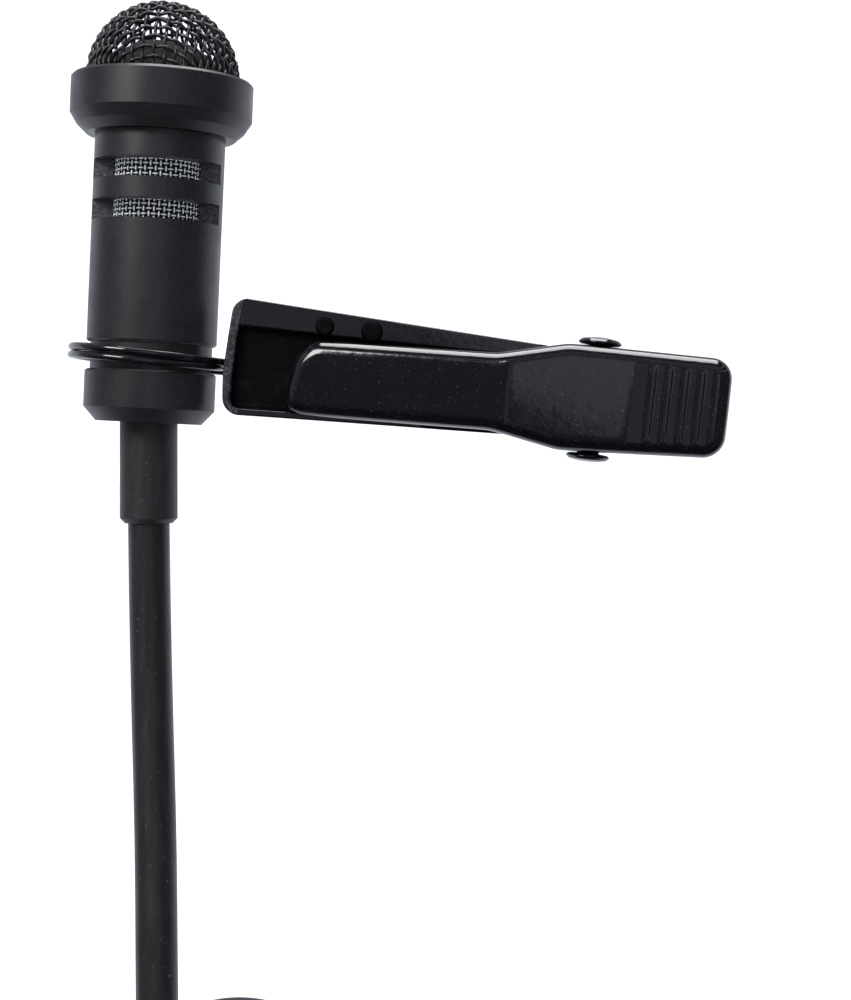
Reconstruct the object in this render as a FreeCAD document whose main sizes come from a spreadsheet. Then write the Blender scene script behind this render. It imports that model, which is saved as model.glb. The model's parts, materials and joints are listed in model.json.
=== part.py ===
import FreeCAD, Part
import math
import os
import types

import Sketcher

# Lavalier microphone hung from a spring clip.
# Frame: +Z up along the microphone's axis, +X along the clip, away from the microphone, and -Y the
# front, where the lever is. The origin is where the jaws grip the cloth.
# All sizes are in millimetres and degrees.

Vector = FreeCAD.Vector

SIZES = {
    # Where the microphone's groove sits, and how far the clip droops in the loose wire ring.
    "mic_x": -12.58,
    "mic_y": 2.3,
    "mic_z": 0.34,
    "droop": 3.6,
    # Microphone body: heights are counted from the middle of the groove.
    "body_radius": 5.4,
    "cap_radius": 5.45,
    "groove_height": 2.3,
    "groove_radius": 5.05,
    "edge_break": 0.15,
    "cap_height": 4.26,
    "cap_chamfer_height": 1.16,
    "cap_chamfer_width": 1.05,
    "cap_cavity_radius": 3.5,
    "cap_floor": 1.2,
    "spigot_radius": 4.3,
    "spigot_height": 5.0,
    "tube_bore": 3.8,
    "thread_radius": 4.9,
    "thread_height": 2.87,
    "slot_low": 11.15,
    "slot_height": 1.65,
    "slot_pitch": 3.33,
    "slot_land": 1.2,
    # Head.
    "collar_low": 18.33,
    "collar_radius": 7.54,
    "collar_foot_radius": 6.15,
    "collar_knee_radius": 6.95,
    "collar_knee": 0.72,
    "collar_chamfer": 1.66,
    "collar_height": 4.75,
    "collar_bevel": 0.22,
    "seat_radius": 6.5,
    "seat_height": 2.92,
    "dome_radius": 6.4,
    "dome_wall": 0.35,
    "dome_pole": 29.6,
    "ring_wall": 0.65,
    "screen_radius": 3.7,
    "screen_wall": 0.15,
    "screen_low": 10.2,
    "screen_height": 7.0,
    "felt_wall": 1.15,
    "capsule_low": 18.0,
    "capsule_radius": 3.0,
    "capsule_height": 2.7,
    "capsule_wall": 0.2,
    "lead_radius": 0.3,
    "lead_offset": 0.8,
    # Cable and what is on it.
    "cable_radius": 1.75,
    "sleeve_radius": 2.4,
    "sleeve_length": 8.9,
    "sleeve_grip": 0.5,
    "sleeve_chamfer": 0.4,
    "sleeve_lean": 2.5,
    "hank_width": 24.5,
    "hank_depth": 25.0,
    "hank_height": 77.0,
    "hank_top": -58.0,
    "hank_x": 9.0,
    "hank_y": 4.5,
    "hank_waist": 8.2,
    "tie_wall": 0.9,
    "tie_height": 7.0,
    "plug_x": 5.6,
    "plug_y": 14.2,
    "plug_top": -146.0,
    "boot_length": 10.0,
    "barrel_radius": 4.0,
    "barrel_length": 19.0,
    "jack_radius": 1.75,
    "jack_sleeve": 7.6,
    "jack_gap": 0.6,
    "jack_ring": 2.2,
    "jack_tip": 3.0,
    # Clip: x runs along the rear jaw from the grip, y is the depth, z lies along the pivot pin.
    "sheet_wall": 0.8,
    "rim_height": 0.9,
    "jaw_left": -6.0,
    "jaw_top": 5.2,
    "jaw_bottom": 4.45,
    "shank_start": 21.0,
    "shank_top": 4.03,
    "shank_bottom": 3.42,
    "neck_start": 22.3,
    "neck_half": 3.2,
    "shelf_low": 2.75,
    "corner_radius": 1.3,
    "pivot_x": 24.2,
    "pivot_y": -2.6,
    "ear_radius": 1.8,
    "pin_radius": 0.9,
    "pin_half": 4.42,
    "head_radius": 1.8,
    "head_height": 0.65,
    "tail_start": 27.0,
    "tail_end": 34.3,
    "tail_flare": 2.0,
    "tail_half": 3.7,
    "lever_nose_half": 3.13,
    "lever_wide_half": 4.32,
    "lever_end_half": 3.98,
    "lever_end": 34.5,
    "lever_skew": 0.0313,
    "lever_front": -5.4,
    "lever_nose_front": -2.0,
    "lever_crease": 17.0,
    "lever_bend": 26.8,
    "lever_end_front": -6.2,
    "rib_pitch": 1.28,
    "rib_radius": 0.34,
    "rib_start": 28.4,
    "wire_radius": 0.325,
    "loop_radius": 5.8,
    "loop_pitch": 0.72,
    "rivet_x": 1.76,
    "rivet_z": 3.58,
    "rivet_spacing": 3.9,
    "rivet_radius": 0.4,
    "rivet_head": 0.72,
    "spring_wire": 0.3,
    "spring_radius": 1.4,
}

doc = FreeCAD.newDocument("lavalier_microphone")
sheet = doc.addObject("Spreadsheet::Sheet", "Sizes")
for row, (name, value) in enumerate(SIZES.items(), start=1):
    sheet.set(f"A{row}", name)
    sheet.set(f"B{row}", str(value))
    sheet.setAlias(f"B{row}", name)
doc.recompute()


class Size:
    """A size that knows its number and the spreadsheet formula that drives it."""

    def __init__(self, number, formula):
        self.number = number
        self.formula = formula

    def combine(self, other, sign, number):
        return Size(number, f"({self.formula} {sign} {as_size(other).formula})")

    def __add__(self, other):
        return self.combine(other, "+", self.number + as_size(other).number)

    def __sub__(self, other):
        return self.combine(other, "-", self.number - as_size(other).number)

    def __mul__(self, other):
        return self.combine(other, "*", self.number * as_size(other).number)

    def __truediv__(self, other):
        return self.combine(other, "/", self.number / as_size(other).number)

    def __neg__(self):
        return Size(-self.number, f"(0 - {self.formula})")


def as_size(value):
    return value if isinstance(value, Size) else Size(float(value), repr(float(value)))


# Every driving size by its alias, such as size.body_radius.
size = types.SimpleNamespace(
    **{name: Size(sheet.get(name), f"Sizes.{name}") for name in SIZES}
)

# The microphone stands upright, and the clip is turned by its droop about the grip.
MIC_PLACE = FreeCAD.Placement(
    Vector(size.mic_x.number, size.mic_y.number, size.mic_z.number), FreeCAD.Rotation()
)
CLIP_PLACE = FreeCAD.Placement(Vector(), FreeCAD.Rotation(Vector(0, 1, 0), size.droop.number))

parts = []


def keep(thing, label, placement):
    """Give a finished sub-part its name and place, and list it for export."""
    thing.Label = label
    thing.Placement = placement
    parts.append(thing)
    return thing


def bind(feature, **values):
    """Drive properties of a feature from sizes."""
    for name, value in values.items():
        feature.setExpression(name, as_size(value).formula)
    return feature


def moved(placement, x=0.0, y=0.0, z=0.0, lean=0.0):
    """The placement shifted in its own frame and leaned about its own Y axis."""
    shift = Vector(as_size(x).number, as_size(y).number, as_size(z).number)
    turn = FreeCAD.Rotation(Vector(0, 1, 0), as_size(lean).number)
    return placement.multiply(FreeCAD.Placement(shift, turn))


# ---------------------------------------------------------------- sketches and PartDesign helpers


def hold_point(sketch, line, x, y):
    """Hold the start of a line at x and y, on an axis where the size is zero."""
    for kind, value, axis in (("DistanceX", as_size(x), -2), ("DistanceY", as_size(y), -1)):
        if value.number == 0:
            sketch.addConstraint(Sketcher.Constraint("PointOnObject", line, 1, axis))
        else:
            held = sketch.addConstraint(Sketcher.Constraint(kind, -1, 1, line, 1, value.number))
            sketch.setExpression(f"Constraints[{held}]", value.formula)


def draw_outline(sketch, corners):
    """Draw a closed straight-sided outline whose corners are pairs of sizes."""
    spots = [Vector(as_size(x).number, as_size(y).number, 0) for x, y in corners]
    first = sketch.GeometryCount
    ends = spots[1:] + spots[:1]
    sketch.addGeometry([Part.LineSegment(a, b) for a, b in zip(spots, ends)], False)
    count = len(corners)
    for index, (x, y) in enumerate(corners):
        following = first + (index + 1) % count
        sketch.addConstraint(Sketcher.Constraint("Coincident", first + index, 2, following, 1))
        hold_point(sketch, first + index, x, y)


def draw_circle(sketch, x, y, radius):
    """Draw a circle held by its centre and radius."""
    centre = Vector(as_size(x).number, as_size(y).number, 0)
    ring = sketch.addGeometry(Part.Circle(centre, Vector(0, 0, 1), as_size(radius).number), False)
    for kind, value, axis in (("DistanceX", as_size(x), -2), ("DistanceY", as_size(y), -1)):
        if value.number == 0:
            sketch.addConstraint(Sketcher.Constraint("PointOnObject", ring, 3, axis))
        else:
            held = sketch.addConstraint(Sketcher.Constraint(kind, -1, 1, ring, 3, value.number))
            sketch.setExpression(f"Constraints[{held}]", value.formula)
    held = sketch.addConstraint(Sketcher.Constraint("Radius", ring, as_size(radius).number))
    sketch.setExpression(f"Constraints[{held}]", as_size(radius).formula)


def new_body(name):
    return doc.addObject("PartDesign::Body", name)


def origin_item(body, role):
    """One of the body's own origin planes or axes."""
    return next(item for item in body.Origin.OriginFeatures if item.Role == role)


def new_sketch(body, name, plane="XZ_Plane", offset=0.0):
    """A sketch on one of the body's own origin planes, moved along the plane's normal."""
    sketch = body.newObject("Sketcher::SketchObject", name)
    sketch.AttachmentSupport = [(origin_item(body, plane), "")]
    sketch.MapMode = "FlatFace"
    sketch.AttachmentOffset = FreeCAD.Placement(
        Vector(0, 0, as_size(offset).number), FreeCAD.Rotation()
    )
    return sketch


def turned(name, *outlines):
    """A body turned about its Z axis from closed outlines of (radius, height) corners."""
    body = new_body(name)
    sketch = new_sketch(body, name + "_profile")
    for corners in outlines:
        draw_outline(sketch, corners)
    turning = body.newObject("PartDesign::Revolution", name + "_turned")
    turning.Profile = sketch
    turning.ReferenceAxis = (sketch, ["V_Axis"])
    turning.Angle = 360
    doc.recompute()
    return body


def tube_outline(inner, outer, low, high):
    """The profile of a plain ring or, with an inner radius of zero, of a disc."""
    return [(inner, low), (outer, low), (outer, high), (inner, high)]


def padded(body, sketch, name, length, symmetric=False, reverse=False):
    feature = body.newObject("PartDesign::Pad", name)
    feature.Profile = sketch
    feature.SideType = "Symmetric" if symmetric else "One side"
    feature.Reversed = reverse
    bind(feature, Length=length)
    doc.recompute()
    return feature


def pocketed(body, sketch, name, length, symmetric=False, reverse=False):
    """Cut a sketch out of the body, and stop if nothing was cut."""
    before = body.Shape.Volume
    feature = body.newObject("PartDesign::Pocket", name)
    feature.Profile = sketch
    feature.SideType = "Symmetric" if symmetric else "One side"
    feature.Reversed = reverse
    bind(feature, Length=length)
    doc.recompute()
    if body.Shape.Volume > before - 1e-6:
        raise RuntimeError(name + " cuts nothing")
    return feature


def edges_where(shape, test):
    """Names of the edges whose middle and shape pass a test."""
    return [f"Edge{i}" for i, edge in enumerate(shape.Edges, start=1) if test(edge)]


def is_circle(edge, radius, height):
    """True for a full circle about Z with this radius, at this height."""
    if not isinstance(edge.Curve, Part.Circle):
        return False
    same_radius = abs(edge.Curve.Radius - as_size(radius).number) < 1e-4
    same_height = abs(edge.Curve.Center.z - as_size(height).number) < 1e-4
    return same_radius and same_height


def dress(body, kind, name, value, test):
    """Chamfer or fillet the edges of a body's present tip that pass a test."""
    base = body.Tip
    names = edges_where(base.Shape, test)
    if not names:
        raise RuntimeError(name + " finds no edge")
    feature = body.newObject("PartDesign::" + kind, name)
    feature.Base = (base, names)
    bind(feature, **{"Size" if kind == "Chamfer" else "Radius": value})
    doc.recompute()
    return feature


# ---------------------------------------------------------------- swept wires and cords


def rounded_route(points, radii):
    """Straight runs from point to point, joined at each inner point by a tangent arc."""
    edges = []
    start = points[0]
    for before, corner, after, radius in zip(points, points[1:], points[2:], radii):
        back = (before - corner).normalize()
        ahead = (after - corner).normalize()
        half = back.getAngle(ahead) / 2
        enter = corner + back * (radius / math.tan(half))
        leave = corner + ahead * (radius / math.tan(half))
        middle = corner + (back + ahead).normalize() * (radius / math.sin(half) - radius)
        edges.append(Part.LineSegment(start, enter).toShape())
        edges.append(Part.Arc(enter, middle, leave).toShape())
        start = leave
    edges.append(Part.LineSegment(start, points[-1]).toShape())
    return Part.Wire(edges)


def full_bends(points):
    """The radius at each inner point: 0.45 of the shorter run over the tangent of half the turn."""
    radii = []
    for before, corner, after in zip(points, points[1:], points[2:]):
        turn = (corner - before).getAngle(after - corner)
        shorter = min((corner - before).Length, (after - corner).Length)
        radii.append(0.45 * shorter / math.tan(turn / 2))
    return radii


def swept_round(route, radius):
    """A solid round bar along a route."""
    first = route.Edges[0]
    start = first.valueAt(first.FirstParameter)
    along = first.tangentAt(first.FirstParameter)
    ring = Part.Wire([Part.makeCircle(radius, start, along)])
    return route.makePipeShell([ring], True, False)


def add_shape(name, shape):
    feature = doc.addObject("Part::Feature", name)
    feature.Shape = shape
    return feature


# ---------------------------------------------------------------- microphone body

groove_top = size.groove_height / 2
groove_low = -groove_top
cap_low = groove_low - size.cap_height


def make_end_cap():
    """Turned cap: chamfered foot, neck that forms the groove, and spigot up into the tube."""
    foot_radius = size.cap_radius - size.cap_chamfer_width
    spigot_top = groove_top + size.spigot_height
    body = turned("end_cap", [
        (size.sleeve_radius, cap_low),
        (foot_radius, cap_low),
        (size.cap_radius, cap_low + size.cap_chamfer_height),
        (size.cap_radius, groove_low),
        (size.groove_radius, groove_low),
        (size.groove_radius, groove_top),
        (size.spigot_radius, groove_top),
        (size.spigot_radius, spigot_top),
        (size.cap_cavity_radius, spigot_top),
        (size.cap_cavity_radius, cap_low + size.cap_floor),
        (size.sleeve_radius, cap_low + size.cap_floor),
    ])
    dress(body, "Chamfer", "cap_edge_break", size.edge_break,
          lambda edge: is_circle(edge, size.cap_radius, groove_low))
    keep(body, "end_cap", MIC_PLACE)


def make_body_tube():
    """Tube with two slots sawn across the front and two across the back."""
    thread_top = size.collar_low + size.thread_height
    bore_step = groove_top + size.spigot_height + size.edge_break
    counterbore = size.spigot_radius + 0.05
    body = turned("body_tube", [
        (counterbore, groove_top),
        (size.body_radius, groove_top),
        (size.body_radius, size.collar_low),
        (size.thread_radius, size.collar_low),
        (size.thread_radius, thread_top),
        (size.tube_bore, thread_top),
        (size.tube_bore, bore_step),
        (counterbore, bore_step),
    ])
    slots = new_sketch(body, "slot_outlines", offset=size.slot_land)
    reach = size.body_radius + 1
    for count in range(2):
        low = size.slot_low + size.slot_pitch * count
        high = low + size.slot_height
        draw_outline(slots, [(-reach, low), (reach, low), (reach, high), (-reach, high)])
    cut = pocketed(body, slots, "front_slots", size.body_radius, reverse=True)
    both = body.newObject("PartDesign::PolarPattern", "front_and_back_slots")
    both.Originals = [cut]
    both.Axis = (origin_item(body, "Z_Axis"), [""])
    both.Angle = 360
    both.Occurrences = 2
    body.Tip = both
    doc.recompute()
    dress(body, "Chamfer", "tube_edge_break", size.edge_break,
          lambda edge: is_circle(edge, size.body_radius, groove_top))
    keep(body, "body_tube", MIC_PLACE)


def make_head_collar():
    """Wide ring with a two-step chamfer under it, a seat for the dome and a thread bore."""
    low = size.collar_low
    high = low + size.collar_height
    knee = low + size.collar_knee
    bore = size.thread_radius + 0.05
    body = turned("head_collar", [
        (bore, low),
        (size.collar_foot_radius, low),
        (size.collar_knee_radius, knee),
        (size.collar_radius, low + size.collar_chamfer),
        (size.collar_radius, high),
        (size.seat_radius, high),
        (size.seat_radius, low + size.seat_height),
        (bore, low + size.seat_height),
    ])
    dress(body, "Chamfer", "collar_bevel", size.collar_bevel,
          lambda edge: is_circle(edge, size.collar_radius, high))
    dress(body, "Fillet", "collar_under_round", size.collar_bevel,
          lambda edge: is_circle(edge, size.collar_knee_radius, knee))
    keep(body, "head_collar", MIC_PLACE)


def make_dome_grille():
    """Closed stand-in for the woven dome: a thin half ball on a short skirt."""
    centre = size.dome_pole - size.dome_radius
    skirt_low = size.collar_low + size.seat_height + 0.05
    shells = []
    for name, radius in (("outer", size.dome_radius), ("inner", size.dome_radius - size.dome_wall)):
        ball = bind(doc.addObject("Part::Sphere", "dome_ball_" + name), Radius=radius)
        ball.Angle1 = 0
        ball.Placement.Base = Vector(0, 0, centre.number)
        skirt = doc.addObject("Part::Cylinder", "dome_skirt_" + name)
        bind(skirt, Radius=radius, Height=centre - skirt_low)
        skirt.Placement.Base = Vector(0, 0, skirt_low.number)
        whole = doc.addObject("Part::Fuse", "dome_" + name)
        whole.Base = ball
        whole.Tool = skirt
        shells.append(whole)
    dome = doc.addObject("Part::Cut", "dome_grille")
    dome.Base = shells[0]
    dome.Tool = shells[1]
    keep(dome, "dome_grille", MIC_PLACE)


def make_head_inside():
    """The clamp ring and foam disc under the dome, and the screen and felt behind the slots."""
    seat = size.collar_low + size.seat_height
    ring_outer = size.dome_radius - size.dome_wall - 0.05
    ring_inner = ring_outer - size.ring_wall
    keep(turned("dome_ring", tube_outline(ring_inner, ring_outer, seat + 0.1, seat + 1.1)),
         "dome_ring", MIC_PLACE)
    foam = ring_inner - 0.05
    keep(turned("foam_plug", [
        (0, seat + 0.05), (foam, seat + 0.05), (foam, seat + 3), (foam - 0.7, seat + 4.6),
        (0, seat + 5),
    ]), "foam_plug", MIC_PLACE)
    screen_top = size.screen_low + size.screen_height
    screen_inner = size.screen_radius - size.screen_wall
    felt_outer = screen_inner - 0.1
    keep(turned("side_screen",
                tube_outline(screen_inner, size.screen_radius, size.screen_low, screen_top)),
         "side_screen", MIC_PLACE)
    keep(turned("felt_sleeve",
                tube_outline(felt_outer - size.felt_wall, felt_outer, size.screen_low + 0.2,
                             screen_top - 0.2)),
         "felt_sleeve", MIC_PLACE)


def make_capsule():
    """Electret capsule in its rubber gasket: can, diaphragm, spacer, backplate and board."""
    low = size.capsule_low
    high = low + size.capsule_height
    outer = size.capsule_radius
    inner = outer - size.capsule_wall
    keep(turned("capsule_can", [
        (inner, low), (outer, low), (outer, high), (outer / 3, high),
        (outer / 3, high - size.capsule_wall), (inner, high - size.capsule_wall),
    ]), "capsule_can", MIC_PLACE)
    keep(turned("capsule_gasket",
                tube_outline(outer + 0.03, size.tube_bore - 0.05, low - 0.1, high + 0.2)),
         "capsule_gasket", MIC_PLACE)
    stack = (
        ("diaphragm", 0, inner - 0.05, high - 0.40, high - 0.25),
        ("capsule_spacer", inner - 0.5, inner - 0.05, high - 0.60, high - 0.42),
        ("backplate", 0, inner - 0.15, high - 1.0, high - 0.62),
        ("capsule_board", 0, inner - 0.05, low + 0.1, low + 0.5),
    )
    for name, hole, radius, bottom, top in stack:
        keep(turned(name, tube_outline(hole, radius, bottom, top)), name, MIC_PLACE)


def make_lead_wires():
    """Two wires from the cable's end up to the capsule board."""
    low = groove_top + 1.5
    wires = []
    for side in (-1, 1):
        wire = doc.addObject("Part::Cylinder", "lead_wire")
        bind(wire, Radius=size.lead_radius, Height=size.capsule_low - low)
        wire.Placement.Base = Vector(side * size.lead_offset.number, 0, low.number)
        wires.append(wire)
    pair = doc.addObject("Part::Compound", "lead_wires")
    pair.Links = wires
    keep(pair, "lead_wires", MIC_PLACE)


# ---------------------------------------------------------------- cable

# The cable leaves the cap straight down, eases towards +X and hangs to its tied hank.
CABLE_POINTS = (
    (0.0, 0.0, 2.4),
    (0.0, 0.0, -5.2),
    (0.39, 0.0, -14.2),
    (1.28, -0.8, -27.0),
    (2.45, -2.7, -39.5),
    (3.35, -5.0, -51.0),
    (3.9, -6.0, -58.8),
)
TAIL_POINTS = (
    (4.4, 15.0, -134.2),
    (5.3, 14.5, -140.0),
    (5.6, 14.2, -146.0),
)


def make_cord(name, places):
    """A round cord through points, with its volume compared with section times length."""
    points = [Vector(*place) for place in places]
    radii = full_bends(points)
    route = rounded_route(points, radii)
    solid = swept_round(route, size.cable_radius.number)
    wanted = math.pi * size.cable_radius.number ** 2 * route.Length
    print(name, "bend radii", [round(radius, 1) for radius in radii],
          "length", round(route.Length, 2), "volume share", round(solid.Volume / wanted, 4))
    keep(add_shape(name, solid), name, MIC_PLACE)


def make_strain_relief():
    """Plain rubber sleeve, pressed into the cap's foot and leaning with the cable."""
    bore = size.cable_radius + 0.06
    body = turned("strain_relief",
                  tube_outline(bore, size.sleeve_radius, -size.sleeve_length, 0))
    dress(body, "Chamfer", "sleeve_foot", size.sleeve_chamfer,
          lambda edge: is_circle(edge, size.sleeve_radius, -size.sleeve_length))
    keep(body, "strain_relief",
         moved(MIC_PLACE, z=cap_low + size.sleeve_grip, lean=-size.sleeve_lean))


def make_cable_crimp():
    """Metal ferrule crimped on the cable inside the cap."""
    inner = size.cable_radius + 0.03
    keep(turned("cable_crimp", tube_outline(inner, inner + 0.6, groove_low - 0.5, groove_top)),
         "cable_crimp", MIC_PLACE)


def make_hank():
    """Outer shape of the folded and tied cable: two round ends and a narrower waist."""
    end_radius = size.hank_width / 2
    span = size.hank_height - size.hank_width
    body = new_body("cable_hank")
    for name, height in (("top_end", 0), ("low_end", -span)):
        sketch = new_sketch(body, name)
        draw_circle(sketch, 0, height, end_radius)
        padded(body, sketch, name + "_pad", size.hank_depth, symmetric=True)
    sketch = new_sketch(body, "waist")
    half = size.hank_waist / 2
    flat = size.tie_height / 2
    middle = -(span / 2)
    draw_outline(sketch, [
        (-end_radius, -span), (end_radius, -span), (half, middle - flat), (half, middle + flat),
        (end_radius, 0), (-end_radius, 0), (-half, middle + flat), (-half, middle - flat),
    ])
    padded(body, sketch, "waist_pad", size.hank_depth, symmetric=True)
    keep(body, "cable_hank",
         moved(MIC_PLACE, x=size.hank_x, y=size.hank_y, z=size.hank_top - end_radius))

    tie = new_body("hank_tie")
    gap = 0.05
    inner_x = half + gap
    inner_y = size.hank_depth / 2 + gap
    outer_x = inner_x + size.tie_wall
    outer_y = inner_y + size.tie_wall
    sketch = new_sketch(tie, "tie_section", plane="XY_Plane")
    draw_outline(sketch, [(-outer_x, -outer_y), (outer_x, -outer_y), (outer_x, outer_y),
                          (-outer_x, outer_y)])
    draw_outline(sketch, [(-inner_x, -inner_y), (inner_x, -inner_y), (inner_x, inner_y),
                          (-inner_x, inner_y)])
    padded(tie, sketch, "tie_pad", size.tie_height, symmetric=True)
    keep(tie, "hank_tie",
         moved(MIC_PLACE, x=size.hank_x, y=size.hank_y,
               z=size.hank_top - size.hank_height / 2))


def make_plug():
    """Miniature jack plug, tip down: boot, barrel, three contacts and two insulating rings."""
    place = moved(MIC_PLACE, x=size.plug_x, y=size.plug_y, z=size.plug_top)
    shoulder = -size.boot_length
    face = shoulder - size.barrel_length
    cable_bore = size.cable_radius + 0.06
    keep(turned("plug_boot", [
        (cable_bore, shoulder), (size.barrel_radius - 0.8, shoulder),
        (cable_bore + 0.8, 1), (cable_bore, 1),
    ]), "plug_boot", place)
    jack = size.jack_radius
    barrel = turned("plug_barrel", [
        (0, face), (size.barrel_radius - 0.5, face), (size.barrel_radius, face + 0.5),
        (size.barrel_radius, shoulder - 0.6), (size.barrel_radius - 0.6, shoulder),
        (0, shoulder),
    ])
    keep(barrel, "plug_barrel", place)
    sleeve_end = face - size.jack_sleeve
    ring_top = sleeve_end - size.jack_gap
    ring_end = ring_top - size.jack_ring
    tip_top = ring_end - size.jack_gap
    keep(turned("plug_sleeve_contact", tube_outline(0, jack, sleeve_end, face)),
         "plug_sleeve_contact", place)
    keep(turned("plug_ring_contact", tube_outline(0, jack, ring_end, ring_top)),
         "plug_ring_contact", place)
    keep(turned("plug_tip_contact", [
        (0, tip_top), (jack, tip_top), (jack, tip_top - 0.4), (jack * 0.7, tip_top - 0.9),
        (jack, tip_top - 1.7), (jack * 0.45, tip_top - size.jack_tip),
        (0, tip_top - size.jack_tip),
    ]), "plug_tip_contact", place)
    keep(turned("plug_insulators",
                tube_outline(0, jack, ring_top, sleeve_end),
                tube_outline(0, jack, tip_top, ring_end)),
         "plug_insulators", place)


# ---------------------------------------------------------------- clip


def make_rear_jaw():
    """Stamped tray with a rolled lip and a raised shelf, two ears for the pin and a flared tail."""
    wall = size.sheet_wall
    body = new_body("rear_jaw")
    outline = new_sketch(body, "jaw_outline", offset=size.rim_height)
    draw_outline(outline, [
        (size.jaw_left + 0.7, size.jaw_top),
        (size.jaw_left, -1.0),
        (size.jaw_left + 0.3, -size.jaw_bottom),
        (size.shank_start, -size.shank_bottom),
        (size.neck_start, -size.neck_half),
        (size.tail_start, -size.neck_half),
        (size.tail_start, size.neck_half),
        (size.neck_start, size.neck_half),
        (size.shank_start, size.shank_top),
    ])
    padded(body, outline, "jaw_plate", wall + size.rim_height, reverse=True)

    def is_left_corner(edge):
        upright = abs(edge.tangentAt(edge.FirstParameter).y) > 0.99
        return upright and edge.CenterOfMass.x < -5 and abs(edge.CenterOfMass.z) > 2

    dress(body, "Fillet", "jaw_corners", size.corner_radius, is_left_corner)
    recess = new_sketch(body, "recess_outline", offset=size.rim_height)
    far = size.tail_start + 1
    left = size.jaw_left + wall
    low = size.jaw_bottom + 1
    draw_outline(recess, [
        (left + 0.6, size.shelf_low),
        (left, -1.0),
        (left + 0.3, wall - size.jaw_bottom),
        (left + 3.6, wall - size.jaw_bottom),
        (left + 3.6, -low),
        (far, -low),
        (far, low),
        (size.shank_start + 1.4, low),
        (size.shank_start - 1.4, size.shelf_low),
    ])
    pocketed(body, recess, "recess", size.rim_height)
    rivets = new_sketch(body, "rivet_circles", offset=size.rim_height)
    for count in range(2):
        draw_circle(rivets, size.rivet_x + size.rivet_spacing * count, size.rivet_z,
                    size.rivet_radius + 0.02)
    pocketed(body, rivets, "rivet_holes", wall + size.rim_height)

    ears = new_sketch(body, "ear_outline", plane="XY_Plane")
    pin_x = size.pivot_x
    pin_y = size.pivot_y
    draw_circle(ears, pin_x, pin_y, size.ear_radius)
    padded(body, ears, "ear_rounds", size.neck_half * 2, symmetric=True)
    stems = new_sketch(body, "ear_stems", plane="XY_Plane")
    draw_outline(stems, [
        (pin_x - size.ear_radius, pin_y), (pin_x + size.ear_radius, pin_y),
        (pin_x + size.ear_radius, wall / 2), (pin_x - size.ear_radius, wall / 2),
    ])
    padded(body, stems, "ear_stem_pad", size.neck_half * 2, symmetric=True)
    between = new_sketch(body, "between_ears", plane="XY_Plane")
    reach = size.ear_radius + 1
    draw_outline(between, [
        (pin_x - reach, pin_y - reach), (pin_x + reach, pin_y - reach),
        (pin_x + reach, 0), (pin_x - reach, 0),
    ])
    pocketed(body, between, "ear_gap", (size.neck_half - wall) * 2, symmetric=True)
    hole = new_sketch(body, "pin_hole", plane="XY_Plane")
    draw_circle(hole, pin_x, pin_y, size.pin_radius + 0.02)
    pocketed(body, hole, "pin_holes", size.neck_half * 2 + 1, symmetric=True)

    tail = new_sketch(body, "tail_profile", plane="XY_Plane")
    draw_outline(tail, [
        (size.tail_start - 0.5, 0), (size.tail_end, size.tail_flare),
        (size.tail_end, size.tail_flare + wall), (size.tail_start - 0.5, wall),
    ])
    padded(body, tail, "tail_pad", size.tail_half * 2, symmetric=True)

    def is_tail_corner(edge):
        across = abs(edge.tangentAt(edge.FirstParameter).z) < 0.01
        return across and edge.CenterOfMass.x > size.tail_end.number - 0.1 and edge.Length < 1.2

    dress(body, "Fillet", "tail_corners", size.corner_radius, is_tail_corner)
    keep(body, "rear_jaw", CLIP_PLACE)


def lever_outline(inset):
    """Plan of the lever, inset all round: narrow nose, wide middle and square thumb pad."""
    stations = (
        (as_size(inset) - 0.7, size.lever_nose_half - 1.4),
        (0.6, size.lever_nose_half),
        (size.lever_crease - 1, size.lever_nose_half),
        (size.lever_crease + 4.3, size.lever_wide_half),
        (size.lever_bend, size.lever_wide_half),
        (size.lever_end - inset, size.lever_end_half),
    )
    upper = []
    lower = []
    for x, half in stations:
        middle = size.lever_skew * (as_size(x) - size.pivot_x)
        upper.append((as_size(x), middle + half - inset))
        lower.append((as_size(x), middle - half + inset))
    return upper + lower[::-1]


def lever_block(name, side, inset):
    """The lever's side profile and its plan, each extruded, and what the two share."""
    body = new_body(name)
    profile = new_sketch(body, name + "_side", plane="XY_Plane")
    draw_outline(profile, side)
    padded(body, profile, name + "_side_pad", size.lever_wide_half * 2 + 3, symmetric=True)
    plan_body = new_body(name + "_plan_body")
    plan = new_sketch(plan_body, name + "_plan")
    draw_outline(plan, lever_outline(inset))
    padded(plan_body, plan, name + "_plan_pad", 20, symmetric=True)
    shared = doc.addObject("Part::Common", name + "_shared")
    shared.Base = body
    shared.Tool = plan_body
    doc.recompute()
    return shared


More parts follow.
